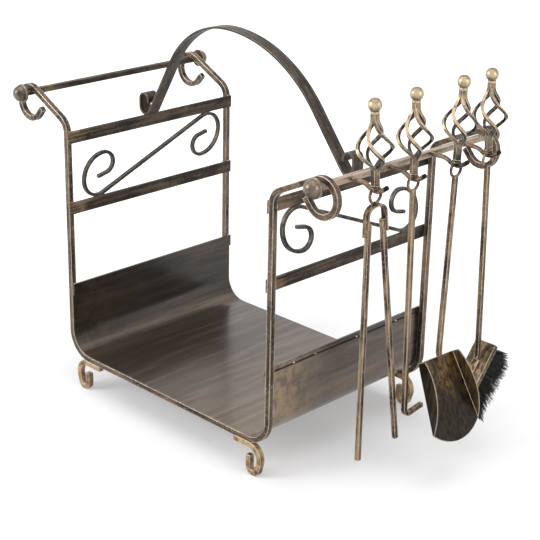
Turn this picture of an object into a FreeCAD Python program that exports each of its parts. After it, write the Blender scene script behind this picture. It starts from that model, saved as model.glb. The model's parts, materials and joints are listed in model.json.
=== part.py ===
"""Wrought-iron log carrier with a hanging set of four hearth tools.

Two bent square bars, joined by two rails and six flat slats, carry a bent sheet tray.
Tongs, poker, shovel and brush hang by their eyes from four hooks on the right rail.
X runs left to right, Y front to back and Z up from the floor; lengths are in millimetres.
"""
import FreeCAD, Part
import math
import os
import re
import Sketcher
from FreeCAD import Placement, Rotation, Vector

# Driving dimensions: millimetres, or degrees where the note says so
SIZES = {
    "bar_size": 8,             # square bar of the frames, rails and feet
    "post_spacing": 420,       # between the left and right posts' centrelines
    "depth": 316.4,            # between the front and back frames' centrelines
    "base_bend": 38,           # centreline radius of a frame's bottom bends
    "shoulder_height": 360,    # bottom bar up to where the post turns outward
    "shoulder_bend": 22,       # centreline radius of that turn
    "left_slope": 27.2,        # degrees above level, from a post to its scroll
    "right_slope": 25.8,       # bent a little lower, under the tools
    "scroll_reach": 84,        # post to the middle of its scroll
    "scroll_radius": 24,       # centreline radius of the scroll
    "scroll_curl": 230,        # degrees that the scroll goes on past its top
    "scroll_tail": 13.5,       # straight end of the scroll
    "rail_overhang": 15,       # rail's end past a frame's centreline
    "rail_seat": 0.02,         # rail clear of the scrolls that it is welded under
    "knob_radius": 13.5,       # knob on a rail's end: a disc with a dome on it
    "knob_disc": 2.5,
    "knob_step": 1.3,          # what the dome stands in from the disc's edge
    "knob_rim": 0.8,           # straight edge under the dome
    "slat_width": 18,
    "slat_thickness": 3,
    "upper_slat_drop": 19.8,   # shoulder down to the slat's middle
    "middle_slat_height": 232.3,  # bottom bar up to the slat's middle
    "lower_slat_height": 104.5,
    "sheet": 1.5,              # thickness of the tray
    "tray_height": 106.5,      # bottom bar up to the tray's upper edge
    "tray_corner_gap": 2,      # what the tray's bend is rounder than the frame's
    "wire": 5,                 # square rod of the scroll ornaments
    "ornament_inset": 16.7,    # clear of the posts
    "template_height": 89.9,   # clear height that the S's curl is drawn for
    "ornament_lead": 25,       # radii of the curl, from the slat inwards
    "ornament_back": 38.5,
    "ornament_eye": 16.5,
    "ornament_tip": 16,
    "ornament_tip_turn": 78,   # degrees
    "ornament_tail": 17,       # straight end of the curl
    "handle_width": 20,
    "handle_thickness": 3,
    "handle_rise": 157.5,      # upper slats' top edge up to the handle's crown
    "handle_crown": 29,        # crown left of the carrier's middle
    "handle_left_slope": 60,   # degrees above level, the handle's straight legs
    "handle_right_slope": 52,
    "handle_curl": 11,         # curled ends: bend on the slat, rise, upper bend and tip
    "handle_curl_rise": 11,
    "handle_curl_top": 9,
    "handle_curl_tip": 4,
    "handle_set_forward": 6.5,  # from the middle of the depth
    "foot_inset": 64,          # post in to the foot's welded end
    "foot_tab": 30.5,          # straight part under the bar
    "foot_height": 41,         # tab down to the foot's lowest centreline
    "foot_outer_bend": 19,
    "foot_outer_turn": 105,    # degrees
    "foot_inner_bend": 8.5,
    "foot_tip": 16,
    "foot_flat": 0.5,          # ground flat under each foot
    "hook_rod": 6,
    "hook_stem": 16,           # straight start at the rail
    "hook_neck_bend": 24,
    "hook_trough_bend": 20,
    "hook_dip": 32,            # degrees down into the trough
    "hook_rise": 36,           # degrees up to the tip
    "hook_tip": 8,
    "hang_gap": 0.3,           # eye above the hook it hangs on
    "tongs_hook": -111.7,      # places of the four hooks along the depth
    "poker_hook": -40,
    "shovel_hook": 45.5,
    "brush_hook": 113,
    "tongs_lean": 4.3,         # degrees that each tool hangs out of plumb, foot to the back
    "poker_lean": 1.5,
    "shovel_lean": -2.3,
    "brush_lean": 2.3,
    "eye_radius": 8.2,         # inside of a tool's eye
    "eye_wire": 3.8,
    "collar_radius": 5.8,      # welded collar between eye and basket
    "collar_height": 3,
    "twist_wire": 4,           # square wire of a basket twist
    "wire_gap": 0.1,           # between the bundled wires
    "twist_foot": 18.5,        # straight bundle below the basket
    "twist_height": 66,        # open basket
    "twist_neck": 6,           # straight bundle above the basket
    "twist_width": 47.5,
    "twist_turn": 170,         # degrees
    "twist_ease": 0.55,        # how softly the wires leave the bundle, against the swell of 1
    "twist_sag": 0.3,          # how much of the swell lies below the middle
    "section_turn": 12,        # degrees of twist from one section of a wire to the next
    "tongs_phase": 30,         # degrees, each basket turned about its own shaft
    "poker_phase": 15,
    "shovel_phase": 18,
    "brush_phase": 12,
    "bead_radius": 5.6,        # bead under a ball finial
    "bead_height": 3,
    "ball_radius": 8.8,
    "ball_seat": 1.2,          # what the ball sinks into its bead
    "rod_size": 6,             # square rod of the tool shafts
    "poker_length": 308,       # eye down to the poker's corner
    "poker_corner": 9,
    "poker_tip": 26,
    "poker_tip_turn": 97,      # degrees
    "bow_strip": 10,           # spring strip at the top of the tongs
    "bow_thickness": 2.5,
    "bow_span": 33,            # between the strip's middles at the shoulders
    "bow_bend": 13,
    "bow_leg": 26,
    "tongs_splay": 4.3,        # degrees, each arm out from the middle
    "arm_length": 324,
    "arm_start": 9,            # arm's upper end below the start of the bow's leg
    "rivet": 4,
    "rivet_head": 4.2,         # radius of the domed head
    "rivet_rim": 0.6,
    "rivet_dome": 1.8,
    "rivet_place": 17,         # below the start of the bow's leg
    "rivet_gap": 0.1,          # room round a shank in its hole
    "shovel_length": 243.6,    # eye down to the bend of the shaft
    "shovel_bend": 14,
    "shovel_tilt": 27,         # degrees, pan out from the shaft
    "shovel_lap": 34,          # shaft welded along the back of the pan
    "pan_sheet": 1.5,
    "pan_top": 73,             # widths across the folds
    "pan_mouth": 97,
    "pan_length": 96,
    "pan_round": 19,           # rounded end beyond the folds
    "pan_offset": 11.6,        # pan's middle in front of the shaft
    "pan_flange_round": 98,    # radius of a side flange's free edge
    "pan_flange_top": 12,
    "pan_flange_end": 2,
    "brush_length": 276.5,     # eye down to the bend of the shaft
    "brush_bend": 8,
    "brush_tilt": 41,          # degrees, block out from the shaft
    "brush_lap": 2,            # full rod beyond the bend
    "tongue_length": 20,       # flattened end under the screw
    "tongue_width": 10,
    "tongue_thickness": 2.5,
    "screw": 3.6,
    "screw_head": 3.8,         # radius of the domed head
    "screw_rim": 0.5,
    "screw_dome": 1.7,
    "screw_reach": 5,          # into the block
    "screw_inset": 8,          # in from the tongue's end
    "block_length": 81,
    "block_width": 33.5,
    "block_thickness": 8,
    "bristle_length": 33,
    "bristle_inset": 2,        # in from the block's edges
    "bristle_flare": 4,        # spread of the tips past the block
    "bristle_droop": 16,       # the same at the lower end
}

doc = FreeCAD.newDocument("log_carrier")
dims = doc.addObject("Spreadsheet::Sheet", "dims")
for row, (alias, size) in enumerate(SIZES.items(), start=1):
    dims.set(f"A{row}", alias)
    dims.set(f"B{row}", str(size))
    dims.setAlias(f"B{row}", alias)
doc.recompute()
sub_parts = []


def value(formula):
    """A formula of the sheet's names, worked out as a number."""
    return float(dims.evalExpression(formula))


def bound(formula):
    """The same formula as another object writes it, with each name in the sheet."""
    def in_sheet(found):
        word = found.group(0)
        return f"dims.{word}" if word in SIZES else word
    return re.sub(r"[A-Za-z_]\w*", in_sheet, formula)


# Levels and reaches that several pieces share
BASE = "(bar_size * 1.5 + foot_height - foot_flat)"
RAIL_X = "(post_spacing / 2 + scroll_reach)"
SLAT_X = "(post_spacing / 2 - bar_size / 2 - slat_thickness / 2)"
UPPER_SLAT = "(shoulder_height - upper_slat_drop)"
TROUGH_X = "(hook_stem + (hook_neck_bend + hook_trough_bend) * sin(hook_dip))"
TROUGH_DROP = "((hook_neck_bend + hook_trough_bend) * (1 - cos(hook_dip)))"
TOOL_X = f"({RAIL_X} + bar_size / 2 + {TROUGH_X})"
EYE_MIDDLE = "(eye_radius + eye_wire / 2)"
EYE_BITE = "(eye_radius + eye_wire / 4)"
COLLAR_TOP = f"({EYE_MIDDLE} + collar_height)"
TWIST_TOP = f"({COLLAR_TOP} + twist_foot + twist_height + twist_neck)"

# The origin lies under the middle of the whole set, from the left scrolls to the shovel's lip
LEFT_REACH = f"({RAIL_X} + scroll_radius + bar_size / 2)"
LIP_X = ("(shovel_bend * (1 - cos(shovel_tilt)) + (rod_size / 2 + pan_sheet) * cos(shovel_tilt)"
         " + (pan_length + pan_round) * sin(shovel_tilt))")
MIDDLE = f"(({TOOL_X} + {LIP_X} - {LEFT_REACH}) / 2)"


def side_word(side):
    return "left" if side < 0 else "right"


def end_word(end):
    return "front" if end < 0 else "back"


def scroll_level(side):
    """Middle of a side's scrolls above the bottom bars."""
    slope = f"{side_word(side)}_slope"
    return (f"(shoulder_height + (scroll_reach - scroll_radius * sin({slope})) * tan({slope})"
            f" - scroll_radius * cos({slope}))")


def rail_level(side):
    """Middle of a side's rail, tucked under the tops of its scrolls."""
    under_bar = "sqrt((scroll_radius - bar_size / 2) ^ 2 - (bar_size / 2) ^ 2)"
    return f"({scroll_level(side)} + {under_bar} - bar_size / 2 - rail_seat)"


EYE_LEVEL = f"({BASE} + {rail_level(1)} - {TROUGH_DROP} + hook_rod / 2 + hang_gap - eye_radius)"


def new_body(label):
    body = doc.addObject("PartDesign::Body", label)
    body.Label = label
    sub_parts.append(body)
    return body


def place(part, x, y, z, axis=Vector(0, 0, 1), angle=0):
    """Turn a sub-part and bind its position to the sheet, X measured from the carrier's middle."""
    part.Placement = Placement(Vector(), Rotation(axis, angle))
    part.setExpression("Placement.Base.x", bound(f"{x} - {MIDDLE}"))
    part.setExpression("Placement.Base.y", bound(y))
    part.setExpression("Placement.Base.z", bound(z))


def origin_plane(body, role):
    return next(item for item in body.Origin.OriginFeatures if item.Role == role)


def flat_sketch(body, name, role, lift=None, spot=Placement()):
    """A sketch on one of the body's own planes, raised along its normal or turned to another spot."""
    sketch = body.newObject("Sketcher::SketchObject", name)
    sketch.AttachmentSupport = [(origin_plane(body, role), "")]
    sketch.MapMode = "FlatFace"
    sketch.AttachmentOffset = spot
    if lift:
        sketch.setExpression("AttachmentOffset.Base.z", bound(lift))
    return sketch


def bind(sketch, formula, kind, *places):
    """One dimension of a sketch, held by a formula of the sheet."""
    size = value(formula)
    angle = kind == "Angle"
    index = sketch.addConstraint(Sketcher.Constraint(kind, *places, math.radians(size) if angle else size))
    name = f"{kind}_{index}"
    sketch.renameConstraint(index, name)
    sketch.setExpression(f"Constraints.{name}", bound(formula))


def pin_point(sketch, geometry, point, across, up):
    bind(sketch, across, "DistanceX", -1, 1, geometry, point)
    bind(sketch, up, "DistanceY", -1, 1, geometry, point)


def polygon(sketch, corners):
    """A closed outline of straight sides; each corner is a pair of formulas."""
    points = [Vector(value(across), value(up), 0) for across, up in corners]
    count = len(points)
    for index in range(count):
        sketch.addGeometry(Part.LineSegment(points[index], points[(index + 1) % count]))
    for index, (across, up) in enumerate(corners):
        before = (index - 1) % count
        sketch.addConstraint(Sketcher.Constraint("Coincident", before, 2, index, 1))
        pin_point(sketch, index, 1, across, up)


def oblong(sketch, width, height):
    """A rectangle about the sketch's origin."""
    x, y = f"({width}) / 2", f"({height}) / 2"
    polygon(sketch, [(f"-{x}", f"-{y}"), (x, f"-{y}"), (x, y), (f"-{x}", y)])


def circle(sketch, radius, across="0", up="0"):
    middle = Vector(value(across), value(up), 0)
    index = sketch.addGeometry(Part.Circle(middle, Vector(0, 0, 1), value(radius)))
    bind(sketch, radius, "Radius", index)
    pin_point(sketch, index, 3, across, up)


class Route:
    """A run of tangent lines and arcs; each length, radius and turn is held by the sheet."""

    def __init__(self, sketch, across="0", up="0", heading=0):
        self.sketch = sketch
        self.start = (across, up)
        self.at = Vector(value(across), value(up), 0)
        self.heading = heading
        self.open_end = None
        self.count = 0

    def join(self, index, first, last):
        if self.open_end is None:
            pin_point(self.sketch, index, first, *self.start)
        else:
            self.sketch.addConstraint(Sketcher.Constraint("Tangent", *self.open_end, index, first))
        self.open_end = (index, last)
        self.count += 1

    def line(self, length):
        angle = math.radians(self.heading)
        end = self.at + Vector(math.cos(angle), math.sin(angle), 0) * value(length)
        index = self.sketch.addGeometry(Part.LineSegment(self.at, end))
        if self.open_end is None:
            self.sketch.addConstraint(Sketcher.Constraint("Angle", index, angle))
        self.join(index, 1, 2)
        bind(self.sketch, length, "Distance", index)
        self.at = end
        return self

    def arc(self, radius, turn, side):
        """Turn by some degrees to the left (side 1) or to the right (side -1)."""
        first_route = self.open_end is None
        size, bend = value(radius), value(turn)
        toward = math.radians(self.heading + 90 * side)
        middle = self.at + Vector(math.cos(toward), math.sin(toward), 0) * size
        begin = math.radians(self.heading - 90 * side)
        finish = begin + math.radians(bend) * side
        ring = Part.Circle(middle, Vector(0, 0, 1), size)
        index = self.sketch.addGeometry(Part.ArcOfCircle(ring, min(begin, finish), max(begin, finish)))
        first, last = (1, 2) if side > 0 else (2, 1)
        self.join(index, first, last)
        if first_route:
            bind(self.sketch, self.start[0], "DistanceX", -1, 1, index, 3)
        bind(self.sketch, radius, "Radius", index)
        bind(self.sketch, turn, "Angle", index)
        self.at = middle + Vector(math.cos(finish), math.sin(finish), 0) * size
        self.heading += bend * side
        return self


def sweep(body, profile, route, name):
    pipe = body.newObject("PartDesign::AdditivePipe", name)
    pipe.Profile = profile
    pipe.Spine = (route.sketch, [f"Edge{number + 1}" for number in range(route.count)])
    return pipe


def mirror(body, feature, role):
    twin = body.newObject("PartDesign::Mirrored", "mirrored")
    twin.Originals = [feature]
    twin.MirrorPlane = (origin_plane(body, role), [""])
    body.Tip = twin
    return twin


def pad(body, sketch, length, symmetric=False, backwards=False):
    block = body.newObject("PartDesign::Pad", "pad")
    block.Profile = sketch
    block.Length = value(length)
    block.setExpression("Length", bound(length))
    block.Reversed = backwards
    block.SideType = "Symmetric" if symmetric else "One side"
    return block


def cut_through(body, sketch):
    pocket = body.newObject("PartDesign::Pocket", "pocket")
    pocket.Profile = sketch
    pocket.Type = "ThroughAll"
    pocket.SideType = "Symmetric"
    return pocket


def revolve(body, sketch, axis):
    turned = body.newObject("PartDesign::Revolution", "revolution")
    turned.Profile = sketch
    turned.ReferenceAxis = (sketch, [axis])
    turned.Angle = 360
    return turned


def slab(label, size, corner):
    """A plain rectangular bar or slat."""
    box = doc.addObject("Part::Box", label)
    box.Label = label
    for side, formula in zip(("Length", "Width", "Height"), size):
        box.setExpression(side, bound(formula))
    place(box, *corner)
    sub_parts.append(box)


def build_frames():
    """Each frame is one bar: base, posts, shoulders and scrolls."""
    for end in (-1, 1):
        body = new_body(f"{end_word(end)}_frame")
        section = flat_sketch(body, "section", "YZ_Plane")
        oblong(section, "bar_size", "bar_size")
        for side in (-1, 1):
            slope = f"{side_word(side)}_slope"
            bend = f"shoulder_bend * tan((90 - {slope}) / 2)"
            ramp = f"(scroll_reach - scroll_radius * sin({slope})) / cos({slope})"
            route = Route(flat_sketch(body, f"{side_word(side)}_route", "XZ_Plane"), heading=90 - 90 * side)
            route.line("post_spacing / 2 - base_bend").arc("base_bend", "90", side)
            route.line(f"shoulder_height - base_bend - {bend}")
            route.arc("shoulder_bend", f"90 - {slope}", -side).line(f"{ramp} - {bend}")
            route.arc("scroll_radius", f"scroll_curl + {slope}", -side).line("scroll_tail")
            sweep(body, section, route, f"{side_word(side)}_half")
        place(body, "0", f"{end} * depth / 2", BASE)


def build_rails():
    """Square rails tucked under the scrolls' tops, with a domed knob on a disc at each end."""
    for side in (-1, 1):
        length = "depth + 2 * rail_overhang"
        middle = f"{BASE} + {rail_level(side)}"
        corner = (f"{side} * {RAIL_X} - bar_size / 2", f"-({length}) / 2", f"{middle} - bar_size / 2")
        slab(f"{side_word(side)}_rail", ("bar_size", length, "bar_size"), corner)
        for end in (-1, 1):
            body = new_body(f"{side_word(side)}_{end_word(end)}_knob")
            disc = flat_sketch(body, "disc", "XZ_Plane")
            circle(disc, "knob_radius")
            pad(body, disc, "knob_disc", backwards=True)
            dome = flat_sketch(body, "dome", "XY_Plane")
            dome_radius = "(knob_radius - knob_step)"
            dome_outline(dome, dome_radius, "(knob_disc + knob_rim)", dome_radius)
            revolve(body, dome, "V_Axis")
            place(body, f"{side} * {RAIL_X}", f"{end} * ({length}) / 2", middle, angle=90 * (1 - end))


def dome_outline(sketch, radius, rim, rise):
    """Half outline of a dome on a straight rim, standing along the sketch's upright axis."""
    wide, low, high = value(radius), value(rim), value(rise)
    sketch.addGeometry(Part.LineSegment(Vector(0, 0, 0), Vector(wide, 0, 0)))
    sketch.addGeometry(Part.LineSegment(Vector(wide, 0, 0), Vector(wide, low, 0)))
    ball = (wide ** 2 + high ** 2) / (2 * high)
    middle = Vector(0, low + high - ball, 0)
    edge = math.asin((low - middle.y) / ball)
    sketch.addGeometry(Part.ArcOfCircle(Part.Circle(middle, Vector(0, 0, 1), ball), edge, math.pi / 2))
    sketch.addGeometry(Part.LineSegment(Vector(0, low + high, 0), Vector(0, 0, 0)))
    for first, last in (((0, 2), (1, 1)), ((1, 2), (2, 1)), ((2, 2), (3, 1)), ((3, 2), (0, 1))):
        sketch.addConstraint(Sketcher.Constraint("Coincident", *first, *last))
    pin_point(sketch, 0, 1, "0", "0")
    pin_point(sketch, 1, 1, radius, "0")
    pin_point(sketch, 1, 2, radius, rim)
    pin_point(sketch, 3, 1, "0", f"{rim} + {rise}")
    bind(sketch, "0", "DistanceX", -1, 1, 2, 3)


def build_slats():
    """Three flat slats a side on the posts' inner faces; the lowest lies inside the tray's wall."""
    levels = (("upper", UPPER_SLAT, "0"), ("middle", "middle_slat_height", "0"),
              ("lower", "lower_slat_height", "sheet"))
    for side in (-1, 1):
        for name, height, packing in levels:
            x = f"{side} * ({SLAT_X} - {packing}) - slat_thickness / 2"
            size = ("slat_thickness", "depth + bar_size", "slat_width")
            corner = (x, "-(depth + bar_size) / 2", f"{BASE} + {height} - slat_width / 2")
            slab(f"{side_word(side)}_{name}_slat", size, corner)


def build_tray():
    """One sheet bent up at both sides, lying on the base bars and against the posts."""
    body = new_body("log_tray")
    section = flat_sketch(body, "section", "YZ_Plane")
    oblong(section, "depth + bar_size", "sheet")
    bend = "(base_bend - bar_size / 2 + tray_corner_gap - sheet / 2)"
    route = Route(flat_sketch(body, "route", "XZ_Plane"))
    route.line(f"post_spacing / 2 - bar_size / 2 - sheet / 2 - {bend}").arc(bend, "90", 1)
    route.line(f"tray_height - bar_size / 2 - sheet / 2 - {bend}")
    mirror(body, sweep(body, section, route, "sheet"), "YZ_Plane")
    place(body, "0", "0", f"{BASE} + bar_size / 2 + sheet / 2")


def build_ornaments():
    """An S of square rod in each side, touching both slats and clear of the posts."""
    clear = f"({UPPER_SLAT} - middle_slat_height - slat_width)"
    lead, back, eye, tip, tail = (f"(ornament_{run} * {clear} / template_height)"
                                  for run in ("lead", "back", "eye", "tip", "tail"))
    across = f"((depth - bar_size - wire) / 2 - ornament_inset - {lead})"
    rise = f"(({clear} - wire) / 2 - {lead})"
    slope = f"((atan({rise} / {across}) + asin({lead} / sqrt({across} ^ 2 + {rise} ^ 2))) / (1 deg))"
    straight = f"(({rise} + {lead} * cos({slope})) / sin({slope}))"
    for side in (-1, 1):
        body = new_body(f"{side_word(side)}_scroll_ornament")
        section = flat_sketch(body, "section", "YZ_Plane")
        oblong(section, "wire", "wire")
        route = Route(flat_sketch(body, "route", "XZ_Plane"))
        route.line(straight).arc(lead, f"90 + {slope}", -1)
        route.arc(back, "90", -1).arc(eye, "90", -1)
        route.arc(tip, "ornament_tip_turn", -1).line(tail)
        half = sweep(body, section, route, "half")
        whole = body.newObject("PartDesign::PolarPattern", "whole")
        whole.Originals = [half]
        whole.Axis = (origin_plane(body, "Y_Axis"), [""])
        whole.Occurrences = 2
        body.Tip = whole
        place(body, f"{side} * {SLAT_X}", "0", f"{BASE} + ({UPPER_SLAT} + middle_slat_height) / 2")
        sloped = Rotation(Vector(0, 1, 0), -value(slope))
        body.Placement.Rotation = Rotation(Vector(0, 0, 1), -90 * side) * sloped


def build_handle():
    """A flat strip arched across the carrier, its ends curled outward on the upper slats."""
    body = new_body("carry_handle")
    section = flat_sketch(body, "section", "YZ_Plane")
    oblong(section, "handle_width", "handle_thickness")
    for side in (-1, 1):
        slope = f"handle_{side_word(side)}_slope"
        half_span = f"({SLAT_X} + {side} * handle_crown)"
        bends = f"(({half_span} * tan({slope}) - handle_rise) / (1 / cos({slope}) - 1))"
        leg = f"({half_span} - {bends} * sin({slope})) / cos({slope})"
        route = Route(flat_sketch(body, f"{side_word(side)}_route", "XZ_Plane"), heading=90 - 90 * side)
        route.arc(f"{bends} - handle_curl", slope, -side).line(leg)
        route.arc("handle_curl", f"{slope} + 90", side).line("handle_curl_rise")
        route.arc("handle_curl_top", "180", side).line("handle_curl_tip")
        sweep(body, section, route, f"{side_word(side)}_half")
    slat_top = f"{BASE} + {UPPER_SLAT} + slat_width / 2"
    place(body, "-handle_crown", "-handle_set_forward", f"{slat_top} + handle_thickness / 2 + handle_rise")


def build_feet():
    """Curled bar feet welded under the base bars, each with a small ground flat."""
    back_turn = "(180 - foot_outer_turn)"
    drop = (f"(foot_height - foot_outer_bend * (1 - cos(foot_outer_turn))"
            f" - foot_inner_bend * (1 - cos({back_turn})))")
    floor = "-(foot_height + bar_size / 2 - foot_flat)"
    under = f"{floor} - bar_size"
    reach = "(foot_tab + foot_outer_bend + bar_size)"
    for side in (-1, 1):
        for end in (-1, 1):
            body = new_body(f"{side_word(side)}_{end_word(end)}_foot")
            section = flat_sketch(body, "section", "YZ_Plane")
            oblong(section, "bar_size", "bar_size")
            route = Route(flat_sketch(body, "route", "XZ_Plane"))
            route.line("foot_tab").arc("foot_outer_bend", "foot_outer_turn", -1)
            route.line(f"{drop} / sin({back_turn})")
            route.arc("foot_inner_bend", f"90 + {back_turn}", -1).line("foot_tip")
            sweep(body, section, route, "curl")
            ground = flat_sketch(body, "ground", "XZ_Plane")
            polygon(ground, [("0", floor), ("0", under), (reach, under), (reach, floor)])
            cut_through(body, ground)
            place(body, f"{side} * (post_spacing / 2 - foot_inset)", f"{end} * depth / 2",
                  f"{BASE} - bar_size", angle=90 * (1 - side))


def build_hooks():
    """Round-rod hooks on the outer face of the right rail, one for each tool."""
    for tool in ("tongs", "poker", "shovel", "brush"):
        body = new_body(f"{tool}_hook")
        section = flat_sketch(body, "section", "YZ_Plane")
        circle(section, "hook_rod / 2")
        route = Route(flat_sketch(body, "route", "XZ_Plane"))
        route.line("hook_stem").arc("hook_neck_bend", "hook_dip", -1)
        route.arc("hook_trough_bend", "hook_dip + hook_rise", 1).line("hook_tip")
        sweep(body, section, route, "rod")
        place(body, f"{RAIL_X} + bar_size / 2", f"{tool}_hook", f"{BASE} + {rail_level(1)}")


def hang(part, tool, spot=Placement()):
    """Set a piece of a tool, modelled about the middle of its eye, where the tool hangs."""
    eye = Vector(value(f"{TOOL_X} - {MIDDLE}"), value(f"{tool}_hook"), value(EYE_LEVEL))
    lean = Rotation(Vector(1, 0, 0), value(f"{tool}_lean"))
    part.Placement = Placement(eye, lean) * spot


def add_eye(body):
    """Wire eye and the collar on top of it, about the tool's own origin."""
    ring = flat_sketch(body, "eye_wire", "XY_Plane")
    circle(ring, "eye_wire / 2", "0", EYE_MIDDLE)
    revolve(body, ring, "H_Axis")
    collar = flat_sketch(body, "collar", "XY_Plane", EYE_BITE)
    circle(collar, "collar_radius")
    pad(body, collar, f"{COLLAR_TOP} - {EYE_BITE}")


def add_shaft(body, plane):
    """Section of a square shaft under the eye, and the route that it follows downward."""
    section = flat_sketch(body, "shaft_section", "XY_Plane", f"-{EYE_BITE}")
    oblong(section, "rod_size", "rod_size")
    route = Route(flat_sketch(body, "shaft_route", plane), "0", f"-{EYE_BITE}", -90)
    return section, route


def twist_section(share):
    """One square section of a basket wire, at a share of the open basket's height."""
    half = value("twist_wire / sqrt(2)")
    inner = value("(twist_wire + wire_gap) / sqrt(2)")
    turn = -math.radians(value("twist_turn"))
    ease, sag = value("twist_ease"), value("twist_sag")
    bulge = (value("twist_width / 2") - half - inner) / (math.hypot(1, ease) - ease)
    phase = math.pi * (share + sag * share * (1 - share))
    pace = math.pi * (1 + sag * (1 - 2 * share))
    reach = math.hypot(math.sin(phase), ease)
    radius = inner + bulge * (reach - ease)
    out = Rotation(Vector(0, 0, 1), math.degrees(turn * share)).multVec(Vector(1, 0, 0))
    round_axis = Vector(0, 0, 1).cross(out)
    climb = Vector(0, 0, value("twist_height"))
    middle = out * radius + climb * share
    along = climb
    if 0 < share < 1:
        widening = bulge * math.sin(phase) * math.cos(phase) / reach * pace
        along = along + out * widening + round_axis * (radius * turn)
    along.normalize()
    outward = (out - along * out.dot(along)).normalize()
    across = along.cross(outward)
    return [middle + arm * half for arm in (outward, across, -outward, -across)]


def basket_twist():
    """Four square wires, bundled below and above and twisted open between."""
    sections = math.ceil(value("twist_turn / section_turn"))
    outlines = []
    for step in range(sections + 1):
        share = (1 - math.cos(math.pi * step / sections)) / 2
        corners = twist_section(share)
        outlines.append(Part.makePolygon(corners + corners[:1]))
    foot = Part.Face(outlines[0]).extrude(Vector(0, 0, -value("twist_foot")))
    neck = Part.Face(outlines[-1]).extrude(Vector(0, 0, value("twist_neck")))
    strand = Part.makeLoft(outlines, True, False).fuse([foot, neck]).removeSplitter()
    if len(strand.Solids) != 1:
        raise RuntimeError("the basket's wires bend too sharply for their thickness")
    strand.translate(Vector(0, 0, value(f"{COLLAR_TOP} + twist_foot")))
    turns = [strand.copy().rotate(Vector(), Vector(0, 0, 1), quarter * 90) for quarter in range(4)]
    return Part.makeCompound(turns)


def build_grip(tool):
    """Basket twist and ball finial above a tool's eye."""
    basket = doc.addObject("Part::Feature", f"{tool}_basket_grip")
    basket.Label = f"{tool}_basket_grip"
    basket.Shape = basket_twist()
    sub_parts.append(basket)
    hang(basket, tool, Placement(Vector(), Rotation(Vector(0, 0, 1), value(f"{tool}_phase"))))

    finial = new_body(f"{tool}_ball_finial")
    bead = flat_sketch(finial, "bead", "XY_Plane", TWIST_TOP)
    circle(bead, "bead_radius")
    pad(finial, bead, "bead_height")
    ball = flat_sketch(finial, "ball", "XZ_Plane")
    middle = f"({TWIST_TOP} + bead_height + ball_radius - ball_seat)"
    half_disc(ball, "ball_radius", middle)
    revolve(finial, ball, "V_Axis")
    hang(finial, tool)


def half_disc(sketch, radius, level):
    size, up = value(radius), value(level)
    ring = Part.Circle(Vector(0, up, 0), Vector(0, 0, 1), size)
    sketch.addGeometry(Part.ArcOfCircle(ring, -math.pi / 2, math.pi / 2))
    sketch.addGeometry(Part.LineSegment(Vector(0, up + size, 0), Vector(0, up - size, 0)))
    sketch.addConstraint(Sketcher.Constraint("Coincident", 0, 2, 1, 1))
    sketch.addConstraint(Sketcher.Constraint("Coincident", 1, 2, 0, 1))
    sketch.addConstraint(Sketcher.Constraint("Vertical", 1))
    bind(sketch, radius, "Radius", 0)
    pin_point(sketch, 0, 3, "0", level)


def domed_pin(label, kind, reach):
    """A rivet or screw: domed head along +Y with its shank behind it, seated at the origin."""
    body = new_body(label)
    outline = flat_sketch(body, "head", "XY_Plane")
    dome_outline(outline, f"{kind}_head", f"{kind}_rim", f"{kind}_dome")
    revolve(body, outline, "V_Axis")
    stem = flat_sketch(body, "shank", "XZ_Plane")
    circle(stem, f"{kind} / 2")
    pad(body, stem, reach)
    return body


def build_tongs():
    """Spring bow under the eye, with an arm riveted inside each of its legs."""
    stem = new_body("tongs_eye")
    add_eye(stem)
    hang(stem, "tongs")

    bow_top = f"({EYE_MIDDLE} + eye_wire / 2 + bow_thickness / 2)"
    bow = new_body("tongs_spring_bow")
    section = flat_sketch(bow, "section", "XZ_Plane")
    oblong(section, "bow_strip", "bow_thickness")
    route = Route(flat_sketch(bow, "route", "YZ_Plane"))
    flat = "bow_span / 2 - bow_bend * cos(tongs_splay)"
    route.line(flat).arc("bow_bend", "90 - tongs_splay", -1).line("bow_leg")
    mirror(bow, sweep(bow, section, route, "strip"), "XZ_Plane")
    splay = value("tongs_splay")
    shoulder = Vector(0, value("bow_span / 2"), -value("bow_bend * (1 - sin(tongs_splay))"))
    lower = Vector(0, 0, -value(bow_top))
    for end in (-1, 1):
        leg_spot = Placement(lower + Vector(0, shoulder.y * end, shoulder.z),
                             Rotation(Vector(1, 0, 0), splay * end))
        build_arm(end, leg_spot)
    drill_bow(bow, shoulder, splay)
    hang(bow, "tongs", Placement(lower, Rotation()))


def drill_bow(bow, shoulder, splay):
    """Rivet holes, square to each leg of the bow."""
    leg = Rotation(Vector(1, 0, 0), splay)
    middle = shoulder + leg.multVec(Vector(0, 0, -value("rivet_place")))
    hole = flat_sketch(bow, "rivet_hole", "XZ_Plane", spot=Placement(Vector(0, middle.z, -middle.y), leg))
    circle(hole, "rivet / 2 + rivet_gap")
    pocket = bow.newObject("PartDesign::Pocket", "rivet_holes")
    pocket.Profile = hole
    pocket.Length = value("bow_bend")
    pocket.setExpression("Length", bound("bow_bend"))
    pocket.SideType = "Symmetric"
    mirror(bow, pocket, "XZ_Plane")


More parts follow.
